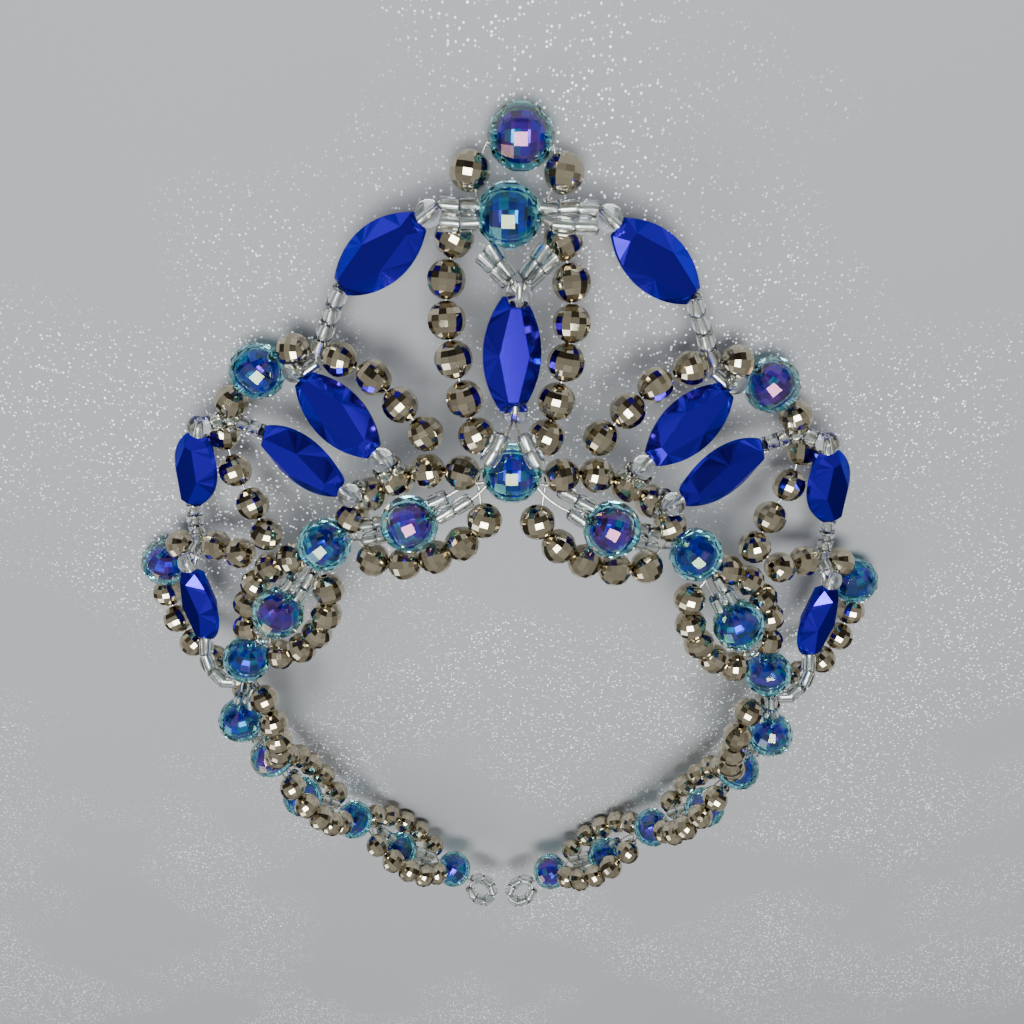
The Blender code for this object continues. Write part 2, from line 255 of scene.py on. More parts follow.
wireFinish = {
    "base": "#dcd8cf",
    "scuffs": 900.0,  # about 1 mm apart
    "roughness": (0.12, 0.34),
}


def makeDrawnWire():
    # silver-plated copper wire, drawn and bent by hand
    material, tree, shader = newMaterial("drawnWire")
    coords = addNode(tree, "ShaderNodeTexCoord")
    noise = addNode(
        tree,
        "ShaderNodeTexNoise",
        {"Scale": wireFinish["scuffs"], "Detail": 2.0},
        {"Vector": coords.outputs["Object"]},
    )
    least, most = wireFinish["roughness"]
    ramp = addNode(
        tree,
        "ShaderNodeMapRange",
        {"To Min": least, "To Max": most},
        {"Value": noise.outputs["Fac"]},
    )
    tree.links.new(ramp.outputs["Result"], shader.inputs["Roughness"])
    setShader(shader, {"Base Color": (*linear(wireFinish["base"]), 1), "Metallic": 1.0})
    return material


plated = makePlatedAcrylic()
aquas = [makeAquaAcrylic(word, thickness) for word, thickness in shellSettings["films"].items()]
cobalt = makeCobaltCore()
foiled = makeFoiledAcrylic()
seedGlass = makeSeedGlass()
lining = makeSilverLining()
drawn = makeDrawnWire()
log("materials made")


# Shapes


def lathed(profile, sides):
    # a closed profile of (height, radius) turned round the thread, so the bore stays open
    verts = []
    for height, radius in profile:
        for step in range(sides):
            angle = 2 * math.pi * step / sides
            verts.append(Vector((radius * math.cos(angle), radius * math.sin(angle), height)))
    faces = []
    count = len(profile)
    for row in range(count):
        below = row * sides
        above = (row + 1) % count * sides
        for step in range(sides):
            after = (step + 1) % sides
            faces.append((below + step, below + after, above + after, above + step))
    return verts, faces


boreFlare = 1.6  # the bore's mouth is this much wider than the bore


def ballProfile(bands, bore):
    first = math.asin(bore) * boreFlare
    rows = []
    for band in range(bands + 1):
        angle = first + (math.pi - 2 * first) * band / bands
        rows.append((-math.cos(angle), math.sin(angle)))
    lip = math.cos(first)
    return [(-lip, bore), *rows, (lip, bore)]


def aimed(spot, thread, radius, turn=0.0, length=None):
    # a template of unit radius set on its thread at its size in mm
    long = radius if length is None else length
    aim = thread.to_track_quat("Z", "Y").to_matrix().to_4x4()
    size = Matrix.Diagonal((radius * mm, radius * mm, long * mm, 1))
    return Matrix.Translation(spot) @ aim @ Matrix.Rotation(turn, 4, "Z") @ size


softEdge = 40.0  # degrees between faces, up to which a smooth piece shades smoothly


def copied(name, template, matrices, material, facetColour=None, smooth=False):
    shapeVerts, shapeFaces = template
    verts = []
    faces = []
    for matrix in matrices:
        base = len(verts)
        verts.extend(matrix @ vert for vert in shapeVerts)
        faces.extend([base + index for index in face] for face in shapeFaces)
    mesh = bpy.data.meshes.new(name)
    mesh.from_pydata(verts, [], faces)
    mesh.materials.append(material)
    if facetColour:
        layer = mesh.color_attributes.new("facetTint", "FLOAT_COLOR", "CORNER")
        for face in mesh.polygons:
            colour = facetColour()
            for corner in face.loop_indices:
                layer.data[corner].color = (*colour, 1)
    if smooth:
        mesh.shade_smooth()
        mesh.set_sharp_from_angle(angle=math.radians(softEdge))
    mesh.validate()
    obj = bpy.data.objects.new(name, mesh)
    bpy.context.scene.collection.objects.link(obj)
    return obj


def wirePiece(name, runs, radius, material):
    curve = bpy.data.curves.new(name, "CURVE")
    curve.dimensions = "3D"
    curve.bevel_depth = radius * mm
    curve.bevel_resolution = 2
    curve.resolution_u = 4
    curve.use_fill_caps = True
    for run in runs:
        spline = curve.splines.new("NURBS")
        spline.points.add(len(run) - 1)
        for index, spot in enumerate(run):
            spline.points[index].co = (*spot, 1)
        spline.order_u = 3
        spline.use_endpoint_u = True
    curve.materials.append(material)
    obj = bpy.data.objects.new(name, curve)
    bpy.context.scene.collection.objects.link(obj)
    return obj


# Round blue beads

roundBead = {
    "radius": 4.9,
    "shellSides": 16,
    "shellBands": 7,  # odd, so that a row of facets runs round the middle
    "coreRadius": 2.65,  # looks a third larger through the shell
    "coreSides": 10,
    "coreBands": 6,
    "coreBore": 0.2,
    "bore": 0.12,
    "frontTurn": 6.8,  # degrees, so that one facet faces up and a little forward
    "peakTurn": 18.2,
    "coreTints": ("#0a0aa0", "#0e0ec4", "#060468", "#8a18b0", "#0c7cb0", "#08088c", "#0e0ec4", "#7a1cb4"),
    "acrossThread": (1.0, 0.0, 0.0),  # of the beads in the crown's middle
    "shoulderThread": (1.0, -1.0, 0.0),
    "flankThread": (0.3, -1.0, 0.0),
}


def coreTint():
    return linear(chance.choice(roundBead["coreTints"]))


shellTemplate = lathed(ballProfile(roundBead["shellBands"], roundBead["bore"]), roundBead["shellSides"])
coreTemplate = lathed(ballProfile(roundBead["coreBands"], roundBead["coreBore"]), roundBead["coreSides"])


def dressRoundBead(node, thread, word, degrees=None):
    spot = boxCentre(node)
    turn = chance.uniform(0, math.pi) if degrees is None else math.radians(degrees)
    shell = copied(
        f"{word}Shell",
        shellTemplate,
        [aimed(spot, thread, roundBead["radius"], turn)],
        chance.choice(aquas),
    )
    core = copied(
        f"{word}Core",
        coreTemplate,
        [aimed(spot, thread, roundBead["coreRadius"], turn)],
        cobalt,
        coreTint,
    )
    for piece in (shell, core):
        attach(piece, "root")
    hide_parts(node)


bandCount = 6
ringNames = ("a", "b", "c", "d", "e")


def bandSpot(index, side):
    if index == 0:
        return frontBead
    return boxCentre(f"band_bead_{index}_{sideNames[side]}")


def bandThread(index, side):
    before = bandSpot(max(index - 1, 0), side)
    after = bandSpot(min(index + 1, bandCount - 1), side)
    return after - before


def sidedThread(key, side):
    x, y, z = roundBead[key]
    return Vector((side * x, y, z))


dressRoundBead("band_bead_0", sidedThread("acrossThread", 1), "frontBead", roundBead["frontTurn"])
dressRoundBead("peak_bead", sidedThread("acrossThread", 1), "peakBead", roundBead["peakTurn"])
dressRoundBead("upper_bead", sidedThread("acrossThread", 1), "upperBead")
for side, name in sideNames.items():
    word = sideWords[side]
    for index in range(1, bandCount):
        dressRoundBead(f"band_bead_{index}_{name}", bandThread(index, side), f"bandBead{index}{word}")
    for index, letter in enumerate(ringNames):
        chain = bandSpot(index + 1, side) - bandSpot(index, side)
        dressRoundBead(f"ringed_bead_{letter}_{name}", chain, f"ringedBead{letter.upper()}{word}")
    dressRoundBead(f"shoulder_bead_{name}", sidedThread("shoulderThread", side), f"shoulderBead{word}")
    dressRoundBead(f"flank_bead_{name}", sidedThread("flankThread", side), f"flankBead{word}")
log("round beads made")


# Metal beads and seed beads

metalBead = {"radius": 3.02, "sides": 14, "bands": 8, "bore": 0.17}
seedBead = {"radius": 1.45, "length": 3.3, "pitch": 3.4, "leastPitch": 2.7, "sides": 16, "bore": 0.50}
tipBead = {
    "radius": 2.05,
    "sides": 16,
    "bands": 10,
    "bore": 0.22,
    "beyond": 1.8,  # mm, its middle past the oval's tip
    "clear": 2.0,  # mm, its middle to the first seed
}
wire = {"radius": 0.22}
liningSides = 10
anyTurn = 3  # radians, beads turn on their thread by up to this much

# templates of unit radius, the seed bead's also of unit length
metalTemplate = lathed(ballProfile(metalBead["bands"], metalBead["bore"]), metalBead["sides"])
seedProfile = (
    (-0.5, seedBead["bore"]),
    (-0.5, 0.72),
    (-0.47, 0.88),
    (-0.40, 0.97),
    (-0.28, 1.0),
    (0.28, 1.0),
    (0.40, 0.97),
    (0.47, 0.88),
    (0.5, 0.72),
    (0.5, seedBead["bore"]),
)
seedTemplate = lathed(seedProfile, seedBead["sides"])
liningProfile = ((-0.47, 0.38), (-0.47, 0.48), (0.47, 0.48), (0.47, 0.38))
liningTemplate = lathed(liningProfile, liningSides)
tipTemplate = lathed(ballProfile(tipBead["bands"], tipBead["bore"]), tipBead["sides"])
tipLiningProfile = ((-0.9, 0.12), (-0.9, 0.2), (0.9, 0.2), (0.9, 0.12))
tipLiningTemplate = lathed(tipLiningProfile, liningSides)


def plateTint():
    share = chance.uniform(*platedSettings["shares"])
    return (share, share, share)


seedPlaces = []
tipPlaces = []
wireRuns = []
seedTilt = 0.08  # each seed bead sits a little askew on its wire
pairing = {
    "apart": 1.25,  # mm from the middle to each row
    "radius": 1.3,
    "facing": Vector((0, 0.66, 0.75)),  # both rows lie flat to this way
    "spread": 0.2,  # share of the run in which the wires part
}


def seedRun(start, end, count=None, backwards=False, radius=None):
    # seed beads pushed up against the end, or against the start, from a mix of lengths
    reach = (end - start).length / mm
    along = (end - start).normalized()
    most = max(int(reach / seedBead["leastPitch"]), 1)
    count = most if count is None else min(count, most)
    pitch = max(min(seedBead["pitch"], reach / count), seedBead["leastPitch"])
    length = seedBead["length"] + pitch - seedBead["pitch"]
    for number in range(count):
        away = (number + 0.5) * pitch
        spot = start + along * away * mm if backwards else end - along * away * mm
        tilt = Vector([chance.uniform(-seedTilt, seedTilt) for _ in range(3)])
        size = radius or seedBead["radius"]
        seedPlaces.append(aimed(spot, along + tilt, size, chance.uniform(0, anyTurn), length))


def threadedSeeds(path):
    # a seed bead on each place of a bent wire between its two ends
    for before, spot, after in zip(path, path[1:], path[2:]):
        turn = chance.uniform(0, anyTurn)
        seedPlaces.append(aimed(spot, after - before, seedBead["radius"], turn, seedBead["length"]))
    wireRuns.append(path)


def pairedSeeds(start, end, counts, backwards=False):
    # two rows side by side, one on each wire
    aside = (end - start).cross(pairing["facing"]).normalized() * pairing["apart"] * mm
    for way, count in zip((1, -1), counts):
        seedRun(start + aside * way, end + aside * way, count, backwards, pairing["radius"])
        parted = start.lerp(end, pairing["spread"]) + aside * way
        joining = start.lerp(end, 1 - pairing["spread"]) + aside * way
        wireRuns.append([start, parted, joining, end])


def tipBall(spot, thread):
    tipPlaces.append(aimed(spot, thread, tipBead["radius"], chance.uniform(0, anyTurn)))


def threadMatrices(places):
    matrices = []
    for before, spot, after in zip(places, places[1:], places[2:]):
        matrices.append(aimed(spot, after - before, metalBead["radius"], chance.uniform(0, anyTurn)))
    return matrices


def dressString(node, word, strings):
    # strings are lists of places: the wire's start, each bead, and the wire's end
    matrices = []
    for places in strings:
        matrices.extend(threadMatrices(places))
        wireRuns.append(places)
    beads = copied(word, metalTemplate, matrices, plated, plateTint)
    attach(beads, "root")
    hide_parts(node)


# Rings round the headband's beads

ringSettings = {
    "a": {"roll": 27.0, "halfWidth": 7.5, "shift": 1.4},
    "b": {"roll": 24.0, "halfWidth": 7.5, "shift": 0.9},
    "c": {"roll": 52.0, "halfWidth": 7.9, "shift": 0.8},
    "d": {"roll": 73.0, "halfWidth": 7.9, "shift": 0.0},
    "e": {"roll": 78.0, "halfWidth": 7.85, "shift": 0.0},
}
ringShape = {
    "halfLength": 14.2,
    "rowBeads": 5,
    "pitch": 6.1,
    "endRoom": 0.15,  # of a pitch, left free in a full row
    "steps": 120,  # fine steps that a row is measured in
    "reach": 5.35,
    "knotDepth": 1.1,
    "bandSeeds": 4.6,  # mm from a band bead's middle to the first seed
    "heldSeeds": 4.4,  # mm from the ringed bead's middle to the last seed
}


def ringFrame(letter, start, end, side):
    chain = (end - start).normalized()
    inward = Vector((side * chain.y, -side * chain.x, 0)).normalized()
    up = chain.cross(inward)
    up = up if up.z > 0 else -up
    roll = math.radians(ringSettings[letter]["roll"])
    row = inward * math.cos(roll) + up * math.sin(roll)
    middle = (start + end) / 2 + row * ringSettings[letter]["shift"] * mm
    return middle, chain, row


def ellipseRow(middle, chain, row, halfWidth):
    fine = []
    for step in range(ringShape["steps"] + 1):
        angle = math.pi * (1 - step / ringShape["steps"])
        along = chain * math.cos(angle) * ringShape["halfLength"]
        fine.append(middle + (along + row * math.sin(angle) * halfWidth) * mm)
    lengths = [0.0]
    for first, second in zip(fine, fine[1:]):
        lengths.append(lengths[-1] + (second - first).length)
    count = ringShape["rowBeads"]
    pitch = min(ringShape["pitch"] * mm, lengths[-1] / (count + ringShape["endRoom"]))
    begin = (lengths[-1] - pitch * (count - 1)) / 2
    places = []
    for number in range(count):
        index = next(i for i, length in enumerate(lengths) if length >= begin + number * pitch)
        places.append(fine[index])
    return places


ringRows = {}
for side, name in sideNames.items():
    for index, letter in enumerate(ringNames):
        start, end = bandSpot(index, side), bandSpot(index + 1, side)
        middle, chain, row = ringFrame(letter, start, end, side)
        held = boxCentre(f"ringed_bead_{letter}_{name}")
        reach = ringShape["reach"]
        knots = [
            toward(start, end, reach + ringShape["knotDepth"]),
            toward(end, start, reach + ringShape["knotDepth"]),
        ]
        halfWidth = ringSettings[letter]["halfWidth"]
        inner = ellipseRow(middle, chain, row, halfWidth)
        outer = ellipseRow(middle, chain, -row, halfWidth)
        ringRows[letter, side] = (inner, outer)
        strings = [[knots[0], *inner, knots[1]], [knots[0], *outer, knots[1]]]
        dressString(f"ring_{letter}_{name}", f"ring{letter.upper()}{sideWords[side]}", strings)
        for bead, knot, counts in ((start, knots[0], (1, 2)), (end, knots[1], (2, 2))):
            first = toward(bead, knot, ringShape["bandSeeds"])
            pairedSeeds(first, toward(held, knot, ringShape["heldSeeds"]), counts)
log("rings made")


# Pointed oval beads: long axis, the way the face looks

ovalTable = {
    "top": ((-0.73, 0.67, 0.10), (0.0, 0.5, 0.87)),
    "front": ((-0.72, -0.42, 0.56), (0.1, 0.6, 0.8)),
    "inner": ((-0.81, -0.24, 0.54), (0.35, 0.25, 0.88)),
    "side": ((0.276, -0.957, -0.10), (0.4, 0.2, 0.9)),
    "flank": ((-0.04, -0.995, 0.10), (0.5, 0.1, 0.86)),
    "centre": ((0.0, -0.89, 0.46), (0.17, 0.46, 0.89)),
}
ovalShape = {
    "length": 17.4,
    "width": 9.0,
    "thickness": 5.0,
    "tip": 3.2,  # mm across the blunt ends, where the bore opens
    "girdle": 0.9,
    "steps": 16,
    "tableHalf": 7.0,  # mm from the middle to the table's pointed ends
    "tableSide": 2.3,  # mm from the middle to its side corners
    "tableEnd": 0.75,  # mm to its end corners
    "mouth": 0.2,  # mm past the tip, where the wire comes out
}


def ovalTemplate():
    # a pointed oval: a straight girdle, then facets up to a long six-sided table on both faces
    halfLength = ovalShape["length"] / 2
    rise = (ovalShape["width"] - ovalShape["tip"]) / 2
    radius = (halfLength**2 + rise**2) / (2 * rise)
    steps = ovalShape["steps"]
    arc = []
    for step in range(steps + 1):
        along = halfLength * (1 - 2 * step / steps)
        arc.append((along, math.sqrt(radius**2 - along**2) - radius + ovalShape["width"] / 2))
    outline = arc + [(-along, -across) for along, across in arc]
    long, wide, narrow = ovalShape["tableHalf"], ovalShape["tableSide"], ovalShape["tableEnd"]
    table = [(long, narrow), (0, wide), (-long, narrow), (-long, -narrow), (0, -wide), (long, -narrow)]
    middle = steps // 2
    verts = []
    faces = []
    for way in (1, -1):
        base = len(verts)
        half = way * ovalShape["thickness"] / 2
        edge = way * ovalShape["girdle"] / 2
        verts.extend(Vector((along, across, edge)) * mm for along, across in outline)
        verts.extend(Vector((along, across, half)) * mm for along, across in table)
        top = base + len(outline)
        rim = [base + index for index in range(len(outline))]
        found = [tuple(range(top, top + 6))]
        for start, corners in ((0, (0, 1, 2)), (steps + 1, (3, 4, 5))):
            for step in range(steps):
                corner = top + corners[0 if step < middle // 2 else 1 if step < steps - middle // 2 else 2]
                found.append((rim[start + step], rim[start + step + 1], corner))
            for turn, step in ((0, middle // 2), (1, steps - middle // 2)):
                found.append((top + corners[turn], rim[start + step], top + corners[turn + 1]))
        found.append((rim[steps], rim[steps + 1], top + 3, top + 2))
        found.append((rim[-1], rim[0], top, top + 5))
        faces.extend(found if way > 0 else [tuple(reversed(face)) for face in found])
    count = len(outline)
    lower = count + 6
    for step in range(count):
        after = (step + 1) % count
        faces.append((step, after, lower + after, lower + step))
    return verts, faces


ovalShapeMesh = ovalTemplate()


def ovalTint():
    share = chance.uniform(*ovalFinish["shares"])
    return (share, share, share)


def dressOval(kind, node, side, word):
    long, look = ovalTable[kind]
    spot = boxCentre(node)
    axis = Vector((side * long[0], long[1], long[2])).normalized()
    face = Vector((side * look[0], look[1], look[2]))
    face = (face - axis * face.dot(axis)).normalized()
    across = face.cross(axis)
    turn = Matrix((axis, across, face)).transposed().to_4x4()
    matrix = Matrix.Translation(spot) @ turn
    oval = copied(word, ovalShapeMesh, [matrix], foiled, ovalTint)
    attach(oval, "root")
    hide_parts(node)
    reach = (ovalShape["length"] / 2 + ovalShape["mouth"]) * mm
    return {1: spot + axis * reach, -1: spot - axis * reach, "axis": axis}


ovals = {("centre", 1): dressOval("centre", "oval_centre", 1, "centreOval")}
for side, name in sideNames.items():
    for kind in ("top", "front", "inner", "side", "flank"):
        ovals[kind, side] = dressOval(kind, f"oval_{kind}_{name}", side, f"{kind}Oval{sideWords[side]}")
log("ovals made")


# Crown strands of metal beads, mm

crownStrands = {
    "centreArch": (
        (5.5, 6.3, 22.0),
        (7.2, 11.9, 20.0),
        (8.7, 17.8, 18.0),
        (9.6, 23.0, 15.2),
        (9.5, 28.2, 12.1),
        (8.2, 33.4, 9.0),
        (6.9, 42.8, 6.6),
    ),
    "shoulder": (
        (14.4, 3.5, 18.0),
        (18.6, 7.6, 16.0),
        (23.0, 10.8, 13.0),
        (28.9, 12.2, 10.0),
        (37.0, 12.1, 7.6),
    ),
    "flank": (
        (50.0, 0.0, 5.6),
        (52.4, -6.4, 6.6),
        (50.5, -12.2, 9.8),
        (47.5, -17.4, 13.0),
        (45.0, -22.0, 16.2),
        (51.8, -29.6, 13.6),
        (57.6, -31.2, 10.0),
        (66.0, -34.2, 7.0),
    ),
    "rear": (
        (73.0, -50.5, 4.8),
        (71.2, -55.8, 7.5),
        (67.5, -59.4, 11.0),
        (62.5, -60.5, 14.5),
    ),
}
rearSeeds = ((62.8, -55.2, 15.6), (62.2, -57.3, 18.0), (60.6, -59.9, 19.1), (59.0, -62.6, 18.6))
shoulderFoot = (14.1, 0.7, 19.1)
knotReach = 5.35
sideReach = 4.4  # mm from a bead's middle to its bore's mouth
runRoom = {
    "upper": 1.4,  # mm left free where a run of seeds starts or ends
    "front": 0.5,
    "strand": 1.0,
    "low": 2.0,
    "ball": 1.8,
    "ring": 1.5,
}


def tipSeeds(start, oval, end, count=None):
    # a round clear bead on an oval's tip, and seed beads from start up to it
    tip = oval[end]
    out = oval["axis"] * end
    ball = tip + out * tipBead["beyond"] * mm
    tipBall(ball, out)
    if start is not None:
        near = toward(ball, start, tipBead["clear"])
        seedRun(start, near, count)
        wireRuns.append([start, near, tip])
    return ball


for side, name in sideNames.items():
    word = sideWords[side]
    arch = [leaning(row, side) for row in crownStrands["centreArch"]]
    peak = boxCentre("peak_bead")
    upper = boxCentre("upper_bead")
    foot = toward(frontBead, arch[0], knotReach)
    upperSide = upper + Vector((side * sideReach * mm, 0, 0))
    peakSide = peak + Vector((side * sideReach * mm, 0, 0))
    leg = [foot, *arch[:-1], upperSide]
    dressString(f"centre_arch_{name}", f"centreArch{word}", [leg, [upperSide, arch[-1], peakSide]])
    ball = tipSeeds(None, ovals["top", side], 1)
    pairedSeeds(toward(ball, upperSide, runRoom["upper"]), upperSide, (3, 2), True)

    shoulder = boxCentre(f"shoulder_bead_{name}")
    flank = boxCentre(f"flank_bead_{name}")
    row = [place(*spot, side) for spot in crownStrands["shoulder"]]
    ends = [place(*shoulderFoot, side), toward(shoulder, row[-1], knotReach)]
    dressString(f"shoulder_strand_{name}", f"shoulderStrand{word}", [[ends[0], *row, ends[1]]])
    meeting = (row[-2] + row[-1]) / 2
    low = ovals["top", side][-1]
    seedRun(low, meeting, 4, True)
    wireRuns.append([low, meeting])
    ball = tipSeeds(None, ovals["front", side], -1)
    pairedSeeds(meeting, toward(ball, meeting, runRoom["front"]), (1, 1))

    row = [place(*spot, side) for spot in crownStrands["flank"]]
    ends = [toward(shoulder, row[0], knotReach), toward(flank, row[-1], knotReach)]
    dressString(f"flank_strand_{name}", f"flankStrand{word}", [[ends[0], *row, ends[1]]])
    high = (row[0] + row[1]) / 2
    low = (row[-2] + row[-1]) / 2
    tip = ovals["inner", side][-1]
    seedRun(tip, toward(high, tip, runRoom["strand"]), None, True)
    tipSeeds(high, ovals["side", side], -1)
    tip = ovals["side", side][1]
    seedRun(tip, toward(low, tip, runRoom["low"]))
    tipSeeds(low, ovals["flank", side], -1)

    row = [place(*spot, side) for spot in crownStrands["rear"]]
    ends = [toward(flank, row[0], knotReach), toward(bandSpot(2, side), row[-1], knotReach)]
    dressString(f"rear_strand_{name}", f"rearStrand{word}", [[ends[0], *row, ends[1]]])
    path = [ovals["flank", side][1], *(place(*spot, side) for spot in rearSeeds)]
    path.append(toward(bandSpot(2, side), bandSpot(3, side), knotReach + ringShape["knotDepth"]))
    threadedSeeds(path)

    inner, outer = ringRows["a", side]
    for bead, kind in ((outer[2], "front"), (outer[3], "inner")):
        ball = tipSeeds(None, ovals[kind, side], 1)
        first = toward(ball, bead, runRoom["ball"])
        pairedSeeds(first, toward(bead, ball, runRoom["ring"]), (2, 1), True)
log("crown strands made")


# The V and X of seed beads by the centre oval, mm

crossing = {
    "topBall": (0.4, 28.1, 16.0),
    "lowBall": (0.2, 11.9, 23.0),
    "v": (((4.3, 34.2, 12.5), (0.9, 30.2, 15.0)), ((5.6, 32.7, 12.5), (1.3, 29.4, 15.2))),
    "x": ((0.4, 10.6, 26.0), (2.2, 8.8, 27.2), (3.9, 5.6, 28.4), (5.4, 2.0, 26.0), (6.2, -2.0, 23.6)),
    "lead": 1.7,  # mm that the seeds start before the wire's bend
}
topBall = place(*crossing["topBall"])
lowBall = place(*crossing["lowBall"])
centreTips = ovals["centre", 1]
tipBall(topBall, centreTips["axis"])
tipBall(lowBall, centreTips["axis"])
wireRuns.append([topBall, centreTips[-1]])
wireRuns.append([lowBall, centreTips[1]])
for side in sideNames:
    for start, end in crossing["v"]:
        first, last = place(*start, side), place(*end, side)
        seedRun(first, last, 2, True, pairing["radius"])
        wireRuns.append([first, last, topBall])
    middle, high, low, foot, end = [place(*spot, side) for spot in crossing["x"]]
    seedRun(toward(high, low, -crossing["lead"]), low, 2, True)
    wireRuns.append([lowBall, middle, high, low, foot, end])


# The headband's ends: a small loop of seed beads on wire

endLoop = {
    "centre": (5.9, -167.1, 11.0),
    "length": 8.2,
    "width": 5.2,
    "roll": 50.0,  # degrees that it stands up from lying flat
    "beads": 6,
    "pitch": 3.3,
    "steps": 96,
    "wireStep": 6,  # the wire bends at every sixth step
}


def endLoopPath(side):
    last = bandSpot(bandCount - 1, side)
    centre = place(*endLoop["centre"], side)
    along = (centre - last).normalized()
    flat = Vector((0, 0, side)).cross(along).normalized()
    upright = flat.cross(along)
    upright = upright if upright.z > 0 else -upright
    roll = math.radians(endLoop["roll"])
    across = flat * math.cos(roll) + upright * math.sin(roll)
    path = []
    for step in range(endLoop["steps"] + 1):
        angle = math.pi + 2 * math.pi * step / endLoop["steps"]
        ahead = along * math.cos(angle) * endLoop["length"] / 2
        path.append(centre + (ahead + across * math.sin(angle) * endLoop["width"] / 2) * mm)
    return last, path


for side, name in sideNames.items():
    last, path = endLoopPath(side)
    travelled = 0.0
    due = 0.5 * endLoop["pitch"]
    loopPlaces = []
    for before, after in zip(path, path[1:]):
        travelled += (after - before).length / mm
        if travelled >= due and len(loopPlaces) < endLoop["beads"]:
            loopPlaces.append(aimed(after, after - before, seedBead["radius"], 0, seedBead["length"]))
            due += endLoop["pitch"]
    seedPlaces.extend(loopPlaces)
    bends = path[:: endLoop["wireStep"]]
    piece = wirePiece(f"endLoop{sideWords[side]}", [[last, *bends]], wire["radius"], drawn)
    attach(piece, "root")
    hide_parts(f"end_loop_{name}")

seeds = copied("seedBeads", seedTemplate, seedPlaces, seedGlass, smooth=True)
seedLinings = copied("seedLinings", liningTemplate, seedPlaces, lining, smooth=True)
tips = copied("clearBeads", tipTemplate, tipPlaces, seedGlass, smooth=True)
tipLinings = copied("clearBeadLinings", tipLiningTemplate, tipPlaces, lining, smooth=True)
wires = wirePiece("threadingWire", wireRuns, wire["radius"], drawn)
for piece in (seeds, seedLinings, tips, tipLinings, wires):
    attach(piece, "root")
log(f"{len(seedPlaces)} seed beads and {len(wireRuns)} wires made")


# Floor, light and camera

studio = {
    "floor": "#a3a6a9",
    # painted glint: the specks' pale colour and their glow stand in for the glitter mirroring the lamp
    "paintedGlintSpeck": "#f2f6ff",
    "glint": 2.4,  # painted glint: the specks glow by emission this strongly, lit or not, so they stand brighter than the cloth
    "floorSize": 4.0,
    "floorRoughness": 0.6,
    "personWay": (0.05, 0.90, 0.43),  # where a dark figure stands behind the camera
    "personEdge": (0.955, 0.965),  # cosines from that way, outside and inside its outline
    "personShade": 0.1,
    "room": (  # how high one looks, and the room's light there
        (0.12, (0.05, 0.045, 0.04, 1)),
        (0.95, (0.46, 0.46, 0.46, 1)),
        (0.24, (0.09, 0.08, 0.07, 1)),
        (0.28, (0.33, 0.32, 0.30, 1)),
    ),
}

glitter = {
    "scale": 1800.0,  # cells about 0.6 mm across, coarser than the real dust so that they show
    "size": (0.42, 0.2),  # of a cell, from a speck's edge to its middle
    "few": (0.68, 0.98),  # only the cells above this draw have one
    "patches": 14.0,
    "patchEdge": (0.45, 0.58),
    "swells": 7.0,
    "swellHeight": 0.012,  # m
}

lamps = {
    "key": {"place": (0.0, 0.30, 0.94), "target": (0, 0.02, 0), "size": 0.46, "power": 12.0},
    "fill": {"place": (-0.7, -0.5, 0.8), "target": (0, 0, 0), "size": 0.5, "power": 2.5},
}


def makeFloor():
    # pale satin cloth with woven-in glitter: soft swells, and fine specks in patches, painted as glints:
    # pale and glowing by emission, lit or not
    material, tree, shader = newMaterial("satinFloor")
    coords = addNode(tree, "ShaderNodeTexCoord").outputs["Object"]
    cells = addNode(tree, "ShaderNodeTexVoronoi", {"Scale": glitter["scale"]}, {"Vector": coords})
    noise = {"Scale": glitter["patches"], "Detail": 3.0}
    patches = addNode(tree, "ShaderNodeTexNoise", noise, {"Vector": coords})
    parts = addNode(tree, "ShaderNodeSeparateColor", None, {"Color": cells.outputs["Color"]})
    shares = []
    for (start, end), socket in (
        (glitter["size"], cells.outputs["Distance"]),
        (glitter["few"], parts.outputs["Red"]),
        (glitter["patchEdge"], patches.outputs["Fac"]),
    ):
        limits = {"From Min": start, "From Max": end}
        share = addNode(tree, "ShaderNodeMapRange", limits, {"Value": socket})
        shares.append(share.outputs["Result"])
    small, few, where = shares
    times = {"operation": "MULTIPLY"}
    # painted glints: the specks are paler in the base colour, and they also glow by emission
    specks = addNode(tree, "ShaderNodeMath", times, {0: small, 1: few})
    shown = addNode(tree, "ShaderNodeMath", times, {0: specks.outputs["Value"], 1: where})
    colour = addNode(tree, "ShaderNodeMix", {"data_type": "RGBA"})
    colour.inputs[6].default_value = (*linear(studio["floor"]), 1)
    colour.inputs[7].default_value = (*linear(studio["paintedGlintSpeck"]), 1)
    tree.links.new(shown.outputs["Value"], colour.inputs[0])
    tree.links.new(colour.outputs[2], shader.inputs["Base Color"])
    # painted glint: emission on the specks, so they shine without reflecting a lamp
    glint = addNode(tree, "ShaderNodeMath", times, {0: shown.outputs["Value"]})
    glint.inputs[1].default_value = studio["glint"]
    tree.links.new(glint.outputs["Value"], shader.inputs["Emission Strength"])
    noise = {"Scale": glitter["swells"], "Detail": 1.0}
    swells = addNode(tree, "ShaderNodeTexNoise", noise, {"Vector": coords})
    height = {"Strength": 1.0, "Distance": glitter["swellHeight"]}
    bump = addNode(tree, "ShaderNodeBump", height, {"Height": swells.outputs["Fac"]})
    tree.links.new(bump.outputs["Normal"], shader.inputs["Normal"])
    paintedGlintColour = (*linear(studio["paintedGlintSpeck"]), 1)
    setShader(shader, {"Roughness": studio["floorRoughness"], "Emission Color": paintedGlintColour})
    bpy.ops.mesh.primitive_plane_add(size=studio["floorSize"], location=(0, 0, 0))
    floor = bpy.context.active_object
    floor.name = "floor"
    floor.data.materials.append(material)


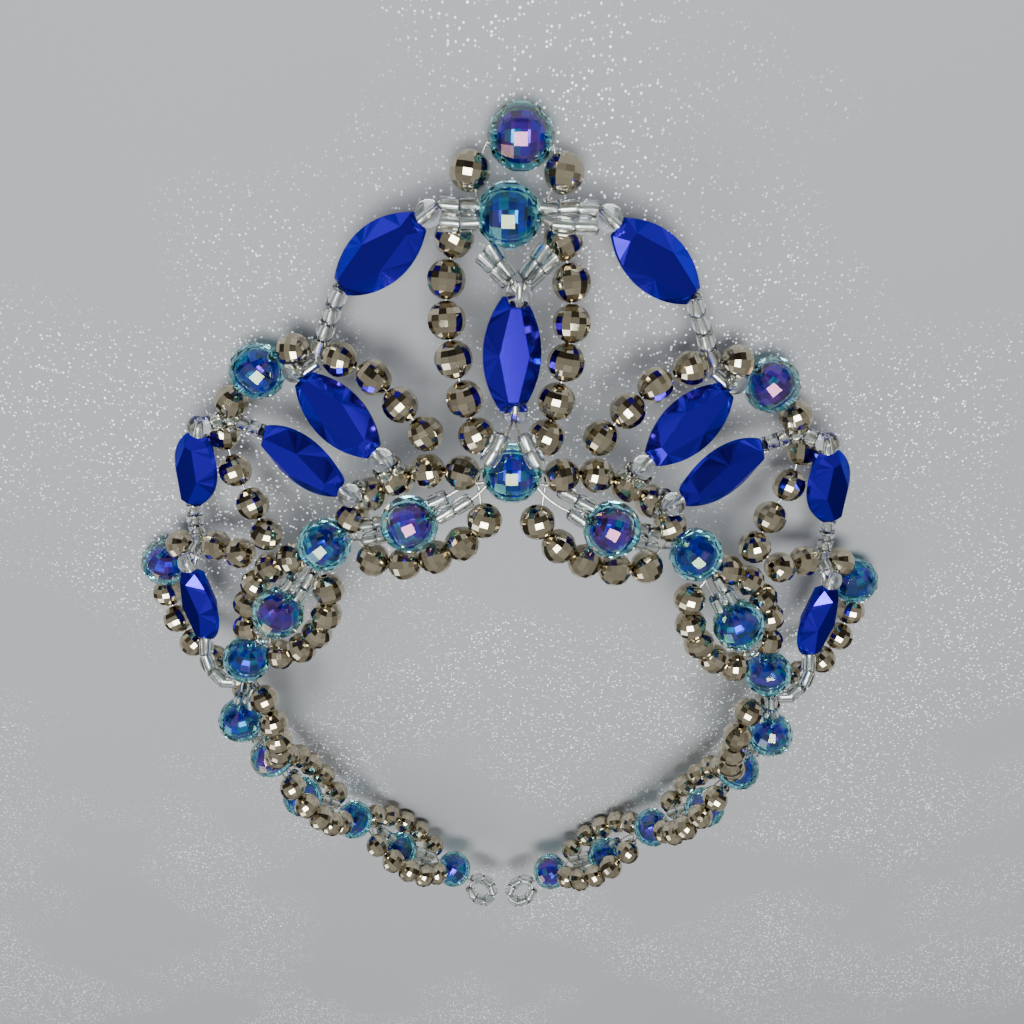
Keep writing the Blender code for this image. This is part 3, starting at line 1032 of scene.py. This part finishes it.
def makeLight(name, lamp):
    light = bpy.data.lights.new(name, "AREA")
    light.shape = "SQUARE"
    light.size = lamp["size"]
    light.energy = lamp["power"]
    spot = Vector(lamp["place"])
    obj = bpy.data.objects.new(name, light)
    obj.location = spot
    obj.rotation_euler = (Vector(lamp["target"]) - spot).to_track_quat("-Z", "Y").to_euler()
    bpy.context.scene.collection.objects.link(obj)


def makeWorld():
    # soft grey room, dark towards its walls and where a person stands, so facets differ
    world = bpy.data.worlds.new("studio")
    bpy.context.scene.world = world
    world.use_nodes = True
    tree = world.node_tree
    back = tree.nodes["Background"]
    coords = addNode(tree, "ShaderNodeTexCoord").outputs["Generated"]
    parts = addNode(tree, "ShaderNodeSeparateXYZ", None, {"Vector": coords})
    height = addNode(tree, "ShaderNodeValToRGB", None, {"Fac": parts.outputs["Z"]})
    stops = height.color_ramp
    lowest, highest, *between = studio["room"]
    for stop, (position, colour) in zip(stops.elements, (lowest, highest)):
        stop.position = position
        stop.color = colour
    for position, colour in between:
        stops.elements.new(position).color = colour
    facing = addNode(tree, "ShaderNodeVectorMath", {"operation": "DOT_PRODUCT"}, {0: coords})
    facing.inputs[1].default_value = Vector(studio["personWay"]).normalized()
    outside, inside = studio["personEdge"]
    person = addNode(
        tree,
        "ShaderNodeMapRange",
        {"From Min": outside, "From Max": inside, "To Min": 1.0, "To Max": studio["personShade"]},
        {"Value": facing.outputs["Value"]},
    )
    tree.links.new(height.outputs["Color"], back.inputs["Color"])
    tree.links.new(person.outputs["Result"], back.inputs["Strength"])


cameraSettings = {
    "place": (0.1416, 95.5008, 140.7724),  # mm from the front bead's foot
    "tilt": 41.5536,  # degrees that the view leans back from straight down
    "roll": 1.5203,
    "lens": 32.656,
    "sensor": 36.0,
    "clipStart": 0.01,
}


def makeCamera():
    tilt = math.radians(cameraSettings["tilt"])
    roll = math.radians(cameraSettings["roll"])
    right = Vector((1, 0, 0))
    upward = Vector((0, math.cos(tilt), -math.sin(tilt)))
    forward = Vector((0, -math.sin(tilt), -math.cos(tilt)))
    across = right * math.cos(roll) + upward * math.sin(roll)
    top = upward * math.cos(roll) - right * math.sin(roll)
    data = bpy.data.cameras.new("camera")
    data.lens = cameraSettings["lens"]
    data.sensor_width = cameraSettings["sensor"]
    data.clip_start = cameraSettings["clipStart"]
    obj = bpy.data.objects.new("camera", data)
    turn = Matrix((across, top, -forward)).transposed().to_4x4()
    obj.matrix_world = Matrix.Translation(place(*cameraSettings["place"])) @ turn
    bpy.context.scene.collection.objects.link(obj)
    bpy.context.scene.camera = obj


makeFloor()
makeWorld()
for name, lamp in lamps.items():
    makeLight(name, lamp)
makeCamera()
log("floor, light and camera made")
